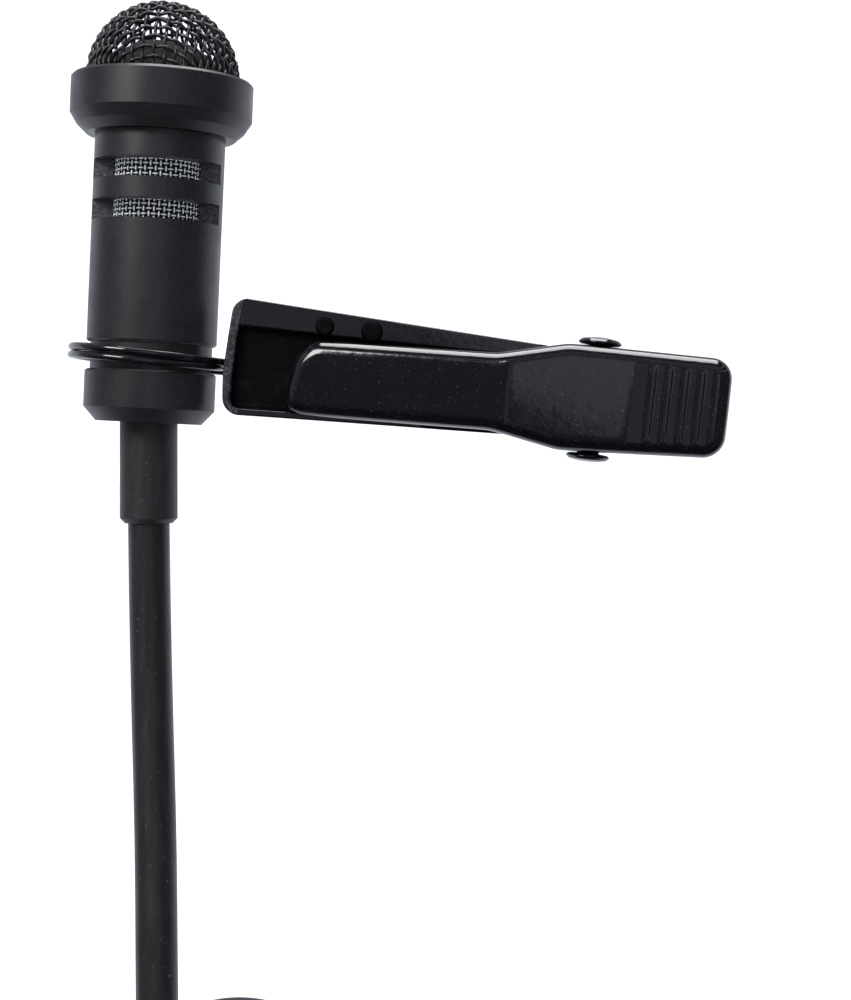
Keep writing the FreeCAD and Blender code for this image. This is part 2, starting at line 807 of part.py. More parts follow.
def make_front_lever():
    """Stamped channel: nose that presses on the tray, ears on the pin and a ribbed thumb pad."""
    wall = size.sheet_wall
    outer = lever_block("lever_outer", [
        (-0.7, -0.06),
        (-0.7, -1.4),
        (-0.1, size.lever_nose_front),
        (size.lever_crease, size.lever_front),
        (size.lever_bend, size.lever_front),
        (size.lever_end, size.lever_end_front),
        (size.lever_end, size.lever_end_front + 1.5),
        (size.lever_bend + 1, size.lever_front + 1.9),
        (size.lever_crease - 1, size.lever_front + 1.9),
        (2.2, -0.75),
        (1.4, -0.06),
    ], 0)
    inner = lever_block("lever_inner", [
        (0.3, 2),
        (0.3, -1.2),
        (size.lever_crease, size.lever_front + wall),
        (size.lever_bend, size.lever_front + wall),
        (size.lever_end - wall, size.lever_end_front + wall),
        (size.lever_end - wall, 2),
    ], wall)

    channel = doc.addObject("Part::Cut", "lever_channel")
    channel.Base = outer
    channel.Tool = inner

    pieces = [channel]
    for side in (-1, 1):
        low = (size.lever_wide_half - wall) if side > 0 else -size.lever_wide_half
        ear = bind(doc.addObject("Part::Cylinder", "lever_ear"),
                   Radius=size.ear_radius, Height=wall)
        ear.Placement.Base = Vector(size.pivot_x.number, size.pivot_y.number, low.number)
        pieces.append(ear)
    for count in range(5):
        x = size.rib_start + size.rib_pitch * count
        rise = (size.lever_end_front - size.lever_front) / (size.lever_end - size.lever_bend)
        front = size.lever_front + rise * (x - size.lever_bend)
        half = size.lever_end_half.number - 1
        middle = (size.lever_skew * (x - size.pivot_x)).number
        rib = bind(doc.addObject("Part::Cylinder", "thumb_rib"), Radius=size.rib_radius)
        rib.Height = 2 * half
        rib.Placement.Base = Vector(x.number, front.number + 0.12, middle - half)
        pieces.append(rib)
    whole = doc.addObject("Part::MultiFuse", "lever_whole")
    whole.Shapes = pieces
    hole = doc.addObject("Part::Cylinder", "lever_pin_hole")
    bind(hole, Radius=size.pin_radius + 0.05, Height=size.lever_wide_half * 2 + 2)
    hole.Placement.Base = Vector(size.pivot_x.number, size.pivot_y.number,
                                 -size.lever_wide_half.number - 1)
    lever = doc.addObject("Part::Cut", "front_lever")
    lever.Base = whole
    lever.Tool = hole
    keep(lever, "front_lever", CLIP_PLACE)


def make_pivot_pin():
    """Pin through all four ears, with a low domed head at each end."""
    shaft = size.pin_radius
    rim = size.head_radius
    top = size.pin_half + size.head_height
    half_profile = [
        (shaft, size.pin_half), (rim - 0.25, size.pin_half), (rim, size.pin_half + 0.3),
        (rim * 0.6, top), (0, top),
    ]
    mirrored = [(radius, -as_size(height)) for radius, height in half_profile[::-1]]
    body = turned("pivot_pin", mirrored + half_profile)
    keep(body, "pivot_pin", moved(CLIP_PLACE, x=size.pivot_x, y=size.pivot_y))


def make_torsion_spring():
    """Coil on the pin, with one leg under the thumb pad and one on the tail."""
    coil = size.spring_radius.number
    height = 1.2
    corners_in_turn = ((-1, -1), (-1, 1), (1, 1), (1, -1))
    last = 13
    corners = []
    for count in range(last + 1):
        x, y = corners_in_turn[count % 4]
        corners.append(Vector(x * coil, y * coil, height - 2 * height * count / last))
    top_leg = Vector(7.0, -1.75, height)
    low_leg = Vector(7.0, 2.9, -height)
    route = rounded_route([top_leg] + corners + [low_leg], [0.95 * coil] * len(corners))
    keep(add_shape("torsion_spring", swept_round(route, size.spring_wire.number)),
         "torsion_spring", moved(CLIP_PLACE, x=size.pivot_x, y=size.pivot_y))


def make_mic_ring():
    """One spring wire: two turns round the microphone, its two legs running behind the jaw."""
    loop = size.loop_radius.number
    centre_x = -0.38
    corner = loop / math.cos(math.radians(28.6))
    step = size.loop_pitch.number / 2
    leg = (size.sheet_wall + size.wire_radius + 0.03 - size.mic_y).number

    def turn_corners(height):
        """Corners round one turn, from the front, past the left, to the back."""
        angles = [-65.6 - 57.2 * count for count in range(5)]
        return [
            Vector(centre_x + corner * math.cos(math.radians(angle)),
                   corner * math.sin(math.radians(angle)), height)
            for angle in angles
        ]

    upper_leg = [Vector(17.6, leg, 4.9), Vector(12.8, leg, 4.9), Vector(8.4, leg, step),
                 Vector(6.15, leg, step)]
    hairpin = [Vector(7.35, 0.0, 0.0)]
    lower_leg = [Vector(6.6, 0.55, -step), Vector(8.6, -0.75, -step), Vector(12.8, leg, 3.4),
                 Vector(17.6, leg, 3.4)]
    points = upper_leg + turn_corners(step) + hairpin + turn_corners(-step) + lower_leg
    loop_bends = [loop - 0.1] * 5
    radii = [3.0, 2.0, 1.2] + loop_bends + [0.75] + loop_bends + [0.7, 1.2, 3.0]
    wire = swept_round(rounded_route(points, radii), size.wire_radius.number)
    # The ring stands a little below the groove's middle.
    keep(add_shape("mic_ring", wire), "mic_ring",
         moved(MIC_PLACE, z=-0.1, lean=size.droop))


def make_ring_bracket():
    """Strip behind the jaw that traps the two wire legs, and the rivets that hold it."""
    gap = size.wire_radius * 2 + 0.06
    front = size.sheet_wall + gap
    body = new_body("ring_bracket")
    sketch = new_sketch(body, "bracket_outline", offset=-front)
    left = size.rivet_x - 1.4
    right = size.rivet_x + size.rivet_spacing + 1.4
    draw_outline(sketch, [(left, size.rivet_z - 1.25), (right, size.rivet_z - 1.25),
                          (right, size.rivet_z + 1), (left, size.rivet_z + 1)])
    for count in range(2):
        draw_circle(sketch, size.rivet_x + size.rivet_spacing * count, size.rivet_z,
                    size.rivet_radius)
    padded(body, sketch, "bracket_pad", 0.5, reverse=True)
    keep(body, "ring_bracket", CLIP_PLACE)

    rivets = []
    depth = size.sheet_wall + size.rim_height + gap + 0.5
    for count in range(2):
        x = size.rivet_x + size.rivet_spacing * count
        shank = doc.addObject("Part::Cylinder", "rivet_shank")
        bind(shank, Radius=size.rivet_radius, Height=depth)
        heads = []
        for at in (-0.35, depth.number):
            head = doc.addObject("Part::Cone", "rivet_head")
            wide, narrow = size.rivet_head, size.rivet_head * 0.6
            bind(head, Radius1=narrow if at < 0 else wide, Radius2=wide if at < 0 else narrow,
                 Height=0.35)
            head.Placement.Base = Vector(0, 0, at)
            heads.append(head)
        rivet = doc.addObject("Part::MultiFuse", "rivet")
        rivet.Shapes = [shank] + heads
        rivet.Placement = FreeCAD.Placement(
            Vector(x.number, -size.rim_height.number, size.rivet_z.number),
            FreeCAD.Rotation(Vector(1, 0, 0), -90),
        )
        rivets.append(rivet)
    pair = doc.addObject("Part::Compound", "ring_rivets")
    pair.Links = rivets
    keep(pair, "ring_rivets", CLIP_PLACE)


make_end_cap()
make_body_tube()
make_head_collar()
make_dome_grille()
make_head_inside()
make_capsule()
make_lead_wires()
make_strain_relief()
make_cable_crimp()
make_cord("cable", CABLE_POINTS)
make_hank()
make_cord("cable_tail", TAIL_POINTS)
make_plug()
make_rear_jaw()
make_front_lever()
make_pivot_pin()
make_torsion_spring()
make_mic_ring()
make_ring_bracket()

doc.recompute()
faults = [
    thing.Label for thing in doc.Objects
    if any(flag in thing.State for flag in ("Invalid", "Error"))
]
faults += [part.Label for part in parts if part.Shape.isNull() or not part.Shape.isValid()]
if faults:
    raise RuntimeError("these objects failed: " + ", ".join(faults))

os.makedirs("parts", exist_ok=True)
for part in parts:
    part.Shape.exportStep(f"parts/{part.Label}.step")
    print(part.Label, len(part.Shape.Solids), "solids", round(part.Shape.Volume, 2), "mm3")
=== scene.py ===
"""Looks of the lavalier microphone: camera, cord, detailed pieces, materials, light and floor.

Lengths are written in millimetres and scaled by MM. Two frames are used besides the row frame:
MIC has its origin in the groove, with +Z up the microphone, and CLIP is turned by the clip's droop.
"""
import json
import math
import random

import bpy
import numpy as np
from mathutils import Matrix, Vector


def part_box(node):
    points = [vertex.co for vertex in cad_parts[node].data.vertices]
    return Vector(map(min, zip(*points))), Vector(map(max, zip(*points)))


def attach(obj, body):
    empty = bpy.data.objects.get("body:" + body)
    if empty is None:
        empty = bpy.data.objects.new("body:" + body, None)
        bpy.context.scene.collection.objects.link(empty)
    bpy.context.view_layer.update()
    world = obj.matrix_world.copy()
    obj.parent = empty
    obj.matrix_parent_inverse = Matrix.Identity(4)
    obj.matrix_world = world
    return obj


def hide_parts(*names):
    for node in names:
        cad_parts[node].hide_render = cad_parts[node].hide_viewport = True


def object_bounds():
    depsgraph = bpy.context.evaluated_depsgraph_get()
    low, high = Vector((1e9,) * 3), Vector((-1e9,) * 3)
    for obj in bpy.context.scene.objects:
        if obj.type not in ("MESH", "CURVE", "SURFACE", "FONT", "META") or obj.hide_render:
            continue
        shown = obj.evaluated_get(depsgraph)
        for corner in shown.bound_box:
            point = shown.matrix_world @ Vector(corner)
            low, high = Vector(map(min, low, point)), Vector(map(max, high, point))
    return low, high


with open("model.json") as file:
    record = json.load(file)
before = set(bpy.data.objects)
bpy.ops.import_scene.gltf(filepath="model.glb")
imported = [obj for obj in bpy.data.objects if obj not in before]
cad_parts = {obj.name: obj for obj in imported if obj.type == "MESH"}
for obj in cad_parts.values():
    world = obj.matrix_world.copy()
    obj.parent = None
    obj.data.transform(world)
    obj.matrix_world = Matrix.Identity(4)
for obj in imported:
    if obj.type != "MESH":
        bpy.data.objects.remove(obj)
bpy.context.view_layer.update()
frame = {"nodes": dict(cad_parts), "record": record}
scene = bpy.context.scene
random.seed(7)

MM = 0.001
joints = {joint["name"]: joint for joint in frame["record"]["behaviour"]["joints"]}
pin_axis = Vector(joints["lever_pivot"]["axis"])
DROOP = math.atan2(pin_axis.x, pin_axis.z)
MIC = Matrix.Translation(Vector(joints["mic_swivel"]["pos_m"]))
CLIP = Matrix.Rotation(DROOP, 4, "Y")
RING = MIC @ Matrix.Translation((0, 0, -0.1 * MM)) @ CLIP


# ---------------------------------------------------------------- camera

def make_camera():
    """Camera a little in front of the microphone, rolled so that the microphone leans right."""
    data = bpy.data.cameras.new("camera")
    data.lens = 69.25
    data.sensor_width = 36
    data.clip_start = 0.01
    camera = bpy.data.objects.new("camera", data)
    scene.collection.objects.link(camera)
    place = Vector((10.65, -158.9, -5.45)) * MM
    aim = Vector((10.9, 2.3, -10.45)) * MM
    roll = math.radians(2.7)
    back = (place - aim).normalized()
    up = Vector((-math.sin(roll), 0, math.cos(roll)))
    right = up.cross(back).normalized()
    up = back.cross(right)
    turn = Matrix((right, up, back)).transposed()
    camera.matrix_world = Matrix.Translation(place) @ turn.to_4x4()
    scene.camera = camera


make_camera()


# ---------------------------------------------------------------- materials

class Nodes:
    """A material's node tree, with short calls for the nodes that the finishes share."""

    def __init__(self, name, colour, roughness, **settings):
        self.material = bpy.data.materials.new(name)
        self.material.use_nodes = True
        self.tree = self.material.node_tree
        self.shader = self.tree.nodes["Principled BSDF"]
        self.colour = colour
        self.set(self.shader, "Base Color", (*colour, 1))
        self.set(self.shader, "Roughness", roughness)
        for key, value in settings.items():
            self.set(self.shader, key.replace("_", " "), value)
        self.where = self.add("ShaderNodeTexCoord").outputs["Object"]
        self.normal = None

    def set(self, node, key, value):
        node.inputs[key].default_value = value

    def add(self, kind, **settings):
        node = self.tree.nodes.new(kind)
        for key, value in settings.items():
            setattr(node, key, value)
        return node

    def link(self, output, node, key):
        self.tree.links.new(output, node.inputs[key])

    def noise(self, per_mm, detail=3.0, stretch=(1, 1, 1)):
        """Noise with so many grains to the millimetre, stretched along an axis."""
        mapping = self.add("ShaderNodeMapping")
        self.set(mapping, "Scale", stretch)
        self.link(self.where, mapping, "Vector")
        node = self.add("ShaderNodeTexNoise")
        self.set(node, "Scale", per_mm / MM)
        self.set(node, "Detail", detail)
        self.link(mapping.outputs["Vector"], node, "Vector")
        return node.outputs["Fac"]

    def ranged(self, value, low, high, to_low, to_high):
        node = self.add("ShaderNodeMapRange")
        for key, number in (("From Min", low), ("From Max", high),
                            ("To Min", to_low), ("To Max", to_high)):
            self.set(node, key, number)
        self.link(value, node, "Value")
        return node.outputs["Result"]

    def tint(self, factor, other):
        """Mix the colour so far towards another by a factor."""
        node = self.add("ShaderNodeMix", data_type="RGBA")
        self.link(factor, node, "Factor")
        source = self.shader.inputs["Base Color"].links
        if source:
            self.tree.links.new(source[0].from_socket, node.inputs[6])
        else:
            node.inputs[6].default_value = (*self.colour, 1)
        node.inputs[7].default_value = (*other, 1)
        self.link(node.outputs[2], self.shader, "Base Color")

    def rough(self, value, low, high):
        self.link(self.ranged(value, 0.3, 0.7, low, high), self.shader, "Roughness")

    def bump(self, value, micrometres):
        node = self.add("ShaderNodeBump")
        self.set(node, "Distance", micrometres * MM * MM)
        self.set(node, "Strength", 1.0)
        self.link(value, node, "Height")
        if self.normal is not None:
            self.link(self.normal, node, "Normal")
        self.normal = node.outputs["Normal"]
        self.link(self.normal, self.shader, "Normal")


SATIN = (0.0042, 0.0044, 0.0054)
SATIN_SPECK = (0.04, 0.04, 0.045)


def satin_nodes(name, colour, roughness, speck):
    """Fine bead-blasted and anodised metal: tight grain, faint lighter specks, cloudy sheen."""
    nodes = Nodes(name, colour, roughness, Metallic=0.0, Specular_IOR_Level=0.5)
    grain = nodes.noise(14, 2)
    cloud = nodes.noise(0.35, 4)
    nodes.tint(nodes.ranged(grain, 0.55, 0.72, 0, 0.6), speck)
    nodes.tint(nodes.ranged(cloud, 0.35, 0.7, 0, 0.35), tuple(c * 1.7 for c in colour))
    nodes.rough(cloud, roughness - 0.05, roughness + 0.06)
    nodes.bump(grain, 7)
    return nodes


def satin_metal(*settings):
    return satin_nodes(*settings).material


def slotted_metal(name, radius):
    """The satin finish, with rougher and paler milled faces inside the slots."""
    nodes = satin_nodes(name, SATIN, 0.38, SATIN_SPECK)
    inside = nodes.ranged(from_axis(nodes), radius - 0.1 * MM, radius - 0.05 * MM, 1, 0)
    scored = nodes.noise(5, 5, (1, 1, 2.5))
    milled = nodes.add("ShaderNodeMath", operation="MULTIPLY")
    nodes.link(inside, milled, 0)
    nodes.link(nodes.ranged(scored, 0.42, 0.66, 0.1, 0.9), milled, 1)
    nodes.tint(milled.outputs[0], (0.07, 0.07, 0.075))
    nodes.bump(milled.outputs[0], 25)
    return nodes.material


def gloss_paint(name, colour, roughness):
    """Thick dipped paint: gentle orange peel, dust specks and slight haze."""
    nodes = Nodes(name, colour, roughness, Coat_Weight=0.35, Coat_Roughness=0.08)
    peel = nodes.noise(1.1, 2)
    dust = nodes.noise(9, 2)
    nodes.tint(nodes.ranged(dust, 0.68, 0.76, 0, 0.7), (0.09, 0.09, 0.095))
    nodes.rough(nodes.noise(0.5, 4), roughness - 0.05, roughness + 0.08)
    nodes.bump(peel, 16)
    nodes.bump(dust, 2.5)
    return nodes.material


def cut_edge():
    """Sheared sheet edge under thin paint: dark grey, speckled and scored."""
    nodes = Nodes("cut_edge", (0.012, 0.012, 0.0145), 0.5, Specular_IOR_Level=0.4)
    grain = nodes.noise(4.5, 5)
    nodes.tint(nodes.ranged(grain, 0.5, 0.68, 0, 0.8), (0.06, 0.06, 0.068))
    nodes.tint(nodes.ranged(nodes.noise(1.4, 4), 0.48, 0.62, 0, 0.7), (0.004, 0.004, 0.005))
    nodes.rough(grain, 0.32, 0.6)
    nodes.bump(grain, 28)
    return nodes.material


def rubber(name, colour, roughness, along):
    """Moulded rubber: fine matte grain, drawn lines along the part, a little dust."""
    nodes = Nodes(name, colour, roughness, Specular_IOR_Level=0.45, Sheen_Weight=0.04,
                  Sheen_Roughness=0.5)
    grain = nodes.noise(11, 3)
    lines = nodes.noise(1.6, 3, along)
    dust = nodes.noise(6, 4)
    nodes.tint(nodes.ranged(lines, 0.4, 0.7, 0, 0.5), tuple(c * 1.8 for c in colour))
    nodes.tint(nodes.ranged(dust, 0.67, 0.74, 0, 0.6), (0.12, 0.12, 0.12))
    nodes.rough(lines, roughness - 0.06, roughness + 0.08)
    nodes.bump(lines, 14)
    nodes.bump(grain, 6)
    return nodes.material


def bright_metal(name, colour, roughness):
    """Bare metal with fine drawn scratches and a few dull marks."""
    nodes = Nodes(name, colour, roughness, Metallic=1.0)
    lines = nodes.noise(6, 3)
    marks = nodes.noise(0.9, 4)
    nodes.tint(nodes.ranged(marks, 0.45, 0.7, 0, 0.6), tuple(c * 0.62 for c in colour))
    nodes.rough(lines, max(0.05, roughness - 0.08), roughness + 0.12)
    nodes.bump(lines, 4)
    return nodes.material


def painted_shade_paint(name):
    """Near-black dull paint for the bottom of the tray: painted shade, darker and less shiny than
    the gloss, where the lever's shade falls, with a few dusty smears.
    """
    nodes = Nodes(name, (0.0012, 0.0012, 0.0018), 0.6, Specular_IOR_Level=0.06)
    smears = nodes.noise(0.7, 5, (0.6, 1, 1.4))
    nodes.tint(nodes.ranged(smears, 0.56, 0.74, 0, 0.6), (0.006, 0.006, 0.0075))
    nodes.rough(smears, 0.5, 0.7)
    nodes.bump(nodes.noise(3, 4), 12)
    return nodes.material


def from_axis(nodes):
    """Distance from the microphone's axis."""
    centre = nodes.add("ShaderNodeVectorMath", operation="SUBTRACT")
    centre.inputs[1].default_value = MIC.translation
    nodes.link(nodes.where, centre, 0)
    flat = nodes.add("ShaderNodeVectorMath", operation="MULTIPLY")
    flat.inputs[1].default_value = (1, 1, 0)
    nodes.link(centre.outputs[0], flat, 0)
    reach = nodes.add("ShaderNodeVectorMath", operation="LENGTH")
    nodes.link(flat.outputs[0], reach, 0)
    return reach.outputs["Value"]


def plated_weave(name):
    """White plated wire whose crossings stay bright while the valleys, where the wires pass under,
    get painted shade.
    """
    low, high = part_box("side_screen")
    outer = (high.x - low.x) / 2
    nodes = Nodes(name, (0.85, 0.86, 0.88), 0.35, Metallic=0.3)
    valley_shade = nodes.ranged(from_axis(nodes), outer - 0.12 * MM, outer - 0.05 * MM, 1, 0)
    # Painted shade: the wire turns near black where it dips towards the axis.
    nodes.tint(valley_shade, (0.004, 0.004, 0.004))
    specks = nodes.noise(3, 4)
    nodes.tint(nodes.ranged(specks, 0.6, 0.75, 0, 0.7), (0.25, 0.25, 0.26))
    nodes.rough(specks, 0.25, 0.5)
    nodes.bump(specks, 5)
    return nodes.material


def fibrous(name, colour, per_mm, depth):
    """Felt or foam: open pores or fibres, all dull."""
    nodes = Nodes(name, colour, 0.95, Specular_IOR_Level=0.2, Sheen_Weight=0.1,
                  Sheen_Roughness=0.6)
    pores = nodes.noise(per_mm, 4)
    nodes.tint(nodes.ranged(pores, 0.4, 0.65, 0, 0.8), tuple(c * 2.4 for c in colour))
    nodes.bump(pores, depth)
    return nodes.material


def woven_tape(name):
    """Hook-and-loop strap: ribbed weave with short loops."""
    nodes = Nodes(name, (0.02, 0.02, 0.022), 0.85, Sheen_Weight=0.25, Sheen_Roughness=0.5,
                  Specular_IOR_Level=0.25)
    wave = nodes.add("ShaderNodeTexWave", wave_type="BANDS", bands_direction="Z")
    nodes.set(wave, "Scale", 0.32 / MM)
    nodes.set(wave, "Distortion", 1.2)
    nodes.set(wave, "Detail Scale", 2.0)
    nodes.link(nodes.where, wave, "Vector")
    nodes.tint(nodes.ranged(wave.outputs["Fac"], 0.3, 0.8, 0, 0.7), (0.055, 0.055, 0.06))
    nodes.bump(wave.outputs["Fac"], 90)
    nodes.bump(nodes.noise(7, 4), 60)
    return nodes.material


def film():
    """Metallised film: almost a mirror, with faint tension lines."""
    nodes = Nodes("membrane", (0.78, 0.72, 0.55), 0.18, Metallic=0.9)
    nodes.rough(nodes.noise(2.5, 2), 0.12, 0.26)
    nodes.bump(nodes.noise(0.8, 2), 5)
    return nodes.material


def plastic(name, colour, roughness):
    """Small moulded or extruded plastic part."""
    nodes = Nodes(name, colour, roughness)
    grain = nodes.noise(8, 3)
    nodes.tint(nodes.ranged(grain, 0.5, 0.7, 0, 0.4), tuple(min(1, c * 1.5 + 0.01) for c in colour))
    nodes.rough(nodes.noise(1.2, 3), roughness - 0.06, roughness + 0.08)
    nodes.bump(grain, 4)
    return nodes.material


FINISH = {
    "satin_black": satin_metal("satin_black", SATIN, 0.38, SATIN_SPECK),
    "dome_wire": satin_metal("dome_wire", (0.005, 0.005, 0.006), 0.34, (0.04, 0.04, 0.043)),
    "screen_wire": plated_weave("screen_wire"),
    "gloss_black": gloss_paint("gloss_black", (0.0022, 0.0023, 0.003), 0.09),
    "black_wire": gloss_paint("black_wire", (0.0022, 0.0022, 0.0028), 0.12),
    "spring_steel": bright_metal("spring_steel", (0.42, 0.43, 0.45), 0.28),
    "black_rubber": rubber("black_rubber", (0.0055, 0.0055, 0.0065), 0.5, (1, 1, 0.12)),
    "cable_jacket": rubber("cable_jacket", (0.0035, 0.0035, 0.0042), 0.4, (1, 1, 0.08)),
    "foam": fibrous("foam", (0.006, 0.006, 0.006), 4, 120),
    "felt": fibrous("felt", (0.004, 0.004, 0.004), 8, 60),
    "capsule_metal": bright_metal("capsule_metal", (0.8, 0.8, 0.81), 0.35),
    "brass": bright_metal("brass", (0.8, 0.6, 0.28), 0.3),
    "board": plastic("board", (0.03, 0.16, 0.07), 0.45),
    "lead_insulation": plastic("lead_insulation", (0.5, 0.04, 0.03), 0.4),
    "membrane": film(),
    "tie": woven_tape("tie"),
    "nickel": bright_metal("nickel", (0.83, 0.8, 0.74), 0.16),
    "insulator": plastic("insulator", (0.012, 0.012, 0.012), 0.35),
}
# Painted shade: near-black dull paint for the tray's floor and the rivet heads.
PAINTED_SHADE = painted_shade_paint("painted_shade_black")
CUT_EDGE = cut_edge()
slot_of = {part["node"]: part["material_slot"] for part in frame["record"]["subparts"]}
for node, thing in frame["nodes"].items():
    thing.data.materials.clear()
    thing.data.materials.append(FINISH[slot_of[node]])
body_low, body_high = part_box("body_tube")
frame["nodes"]["body_tube"].data.materials[0] = slotted_metal(
    "slotted_black", (body_high.x - body_low.x) / 2)


# ---------------------------------------------------------------- making pieces

def shown(thing, nodes, body, slot):
    """Give a piece its body, the CAD nodes that it stands for and its finish."""
    thing.data.materials.append(FINISH[slot])
    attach(thing, body)
    if nodes:
        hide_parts(*nodes)
    return thing


def mesh_piece(name, points, faces, place):
    """A smooth-shaded mesh from points in millimetres in one of the three frames."""
    mesh = bpy.data.meshes.new(name)
    mesh.from_pydata([place @ (Vector(point) * MM) for point in points], [], faces)
    mesh.polygons.foreach_set("use_smooth", [True] * len(faces))
    mesh.update()
    thing = bpy.data.objects.new(name, mesh)
    scene.collection.objects.link(thing)
    return thing


def grid_faces(rows, columns, first=0, closed=False):
    """Quads over points listed row by row; closed joins each row's ends."""
    faces = []
    for row in range(rows - 1):
        for column in range(columns if closed else columns - 1):
            after = (column + 1) % columns
            a = first + row * columns
            b = a + columns
            faces.append((a + column, a + after, b + after, b + column))
    return faces


def rounded_profile(corners, steps=6):
    """Corners of (radius, height, fillet) as a line with each fillet turned as an arc."""
    line = []
    for index, (radius, height, fillet) in enumerate(corners):
        here = Vector((radius, height))
        if not fillet or index in (0, len(corners) - 1):
            line.append(here)
            continue
        before = Vector(corners[index - 1][:2]) - here
        after = Vector(corners[index + 1][:2]) - here
        reach = fillet / math.tan(before.angle(after) / 2)
        start = here + before.normalized() * reach
        end = here + after.normalized() * reach
        for step in range(steps + 1):
            share = step / steps
            line.append(start * (1 - share) ** 2 + here * 2 * share * (1 - share) + end * share ** 2)
    return line


def lathe(name, corners, place, around=120):
    """A turned piece about Z from its rounded half profile, listed from the bottom up outside."""
    line = rounded_profile(corners)
    points = [
        (p.x * math.cos(angle), p.x * math.sin(angle), p.y)
        for p in line
        for angle in (math.tau * k / around for k in range(around))
    ]
    return mesh_piece(name, points, grid_faces(len(line), around, closed=True), place)


def tubes(name, lines, radius, place, sides=8):
    """One mesh of round wires along lines of points; a closed line joins its own start."""
    points, faces = [], []
    for line, closed in lines:
        line = [Vector(p) for p in line]
        count = len(line)
        first = len(points)
        side = None
        for index, here in enumerate(line):
            before = line[index - 1] if index or closed else here
            after = line[(index + 1) % count] if index < count - 1 or closed else here
            along = (after - before).normalized()
            out = side if side is not None else Vector((here.x, here.y, here.z + 0.01))
            side = (out - along * out.dot(along)).normalized()
            other = along.cross(side)
            for k in range(sides):
                angle = math.tau * k / sides
                points.append(here + (side * math.cos(angle) + other * math.sin(angle)) * radius)
        faces += grid_faces(count, sides, first, closed=True)
        last = first + (count - 1) * sides
        if closed:
            faces += [(last + k, last + (k + 1) % sides, first + (k + 1) % sides, first + k)
                      for k in range(sides)]
        else:
            faces.append(tuple(range(first, first + sides))[::-1])
            faces.append(tuple(range(last, last + sides)))
    return mesh_piece(name, points, faces, place)


def spline(name, points, radius, place, resolution=12):
    """A round cord or wire on one smooth curve with these control points."""
    data = bpy.data.curves.new(name, "CURVE")
    data.dimensions = "3D"
    data.bevel_depth = radius * MM
    data.bevel_resolution = 6
    data.resolution_u = resolution
    data.use_fill_caps = True
    line = data.splines.new("NURBS")
    line.points.add(len(points) - 1)
    for spot, point in zip(line.points, points):
        spot.co = (*(place @ (Vector(point) * MM)), 1)
    line.order_u = 3
    line.use_endpoint_u = True
    thing = bpy.data.objects.new(name, data)
    scene.collection.objects.link(thing)
    return thing


# ---------------------------------------------------------------- cord

CABLE_RADIUS = 1.75
CABLE_TOP = (
    (0, 0, 2.4),
    (0, 0, -5.2),
    (0.39, 0, -14.2),
    (1.28, -0.8, -27),
    (2.45, -2.7, -39.5),
    (3.35, -5.0, -51),
    (3.9, -6.0, -58.8),
)
CABLE_END = (
    (4.4, 15.0, -134.2),
    (5.3, 14.5, -140),
    (5.6, 14.2, -146),
    (5.6, 14.2, -154),
)


def hank_points():
    """Six turns of a hank pinched at its tie: down the left, round, up the right, round."""
    low, high = (MIC.inverted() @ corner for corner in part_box("cable_hank"))
    middle = (low + high) / 2 / MM
    size = (high - low) / MM
    bend = size.x / 2 - CABLE_RADIUS
    reach = (size.z - size.x) / 2
    lean = math.asin(bend / reach)
    arc = math.pi + 2 * lean
    corners = 8
    round_radius = bend / math.cos(arc / corners / 2)
    turns = 6
    pitch = 2 * CABLE_RADIUS
    depth = middle.y - turns * pitch / 2

    def side(share):
        """How far a run is from the middle at a share of the way to a bend."""
        return math.hypot(CABLE_RADIUS + 0.1, math.tan(lean) * share * reach)

    def bend_points(first, centre):
        angles = [first + arc * k / corners for k in range(corners + 1)]
        return [(middle.x + round_radius * math.cos(a), depth,
                 centre + round_radius * math.sin(a)) for a in angles]

    points = [(middle.x - 4.4, depth, middle.z + 0.9 * reach),
              (middle.x - 3, depth, middle.z + 0.45 * reach)]
    for turn in range(turns):
        points += [(middle.x - side(share), depth, middle.z + share * reach)
                   for share in (0.18, -0.18, -0.5)]
        points += bend_points(math.pi - lean, middle.z - reach)
        for share, crept in ((-0.5, 0), (-0.18, 0), (0.18, 0.3), (0.5, 0.75)):
            points.append((middle.x + side(share), depth + pitch * crept,
                           middle.z + share * reach))
        depth += pitch
        points += bend_points(-lean, middle.z + reach)
        points.append((middle.x - side(0.5), depth, middle.z + 0.5 * reach))
    points += [(middle.x - side(share), depth, middle.z + share * reach)
               for share in (0.18, -0.18)]
    points += [(middle.x - 2.6, depth, middle.z - 0.55 * reach),
               (middle.x - 4.1, depth, middle.z - 0.95 * reach)]
    return points


def make_cord():
    """The whole cable on one curve: down from the cap, through the hank and into the plug."""
    points = list(CABLE_TOP) + hank_points() + list(CABLE_END)
    cord = spline("cable_run", points, CABLE_RADIUS, MIC)
    shown(cord, ["cable", "cable_hank", "cable_tail"], "microphone", "cable_jacket")
    return cord


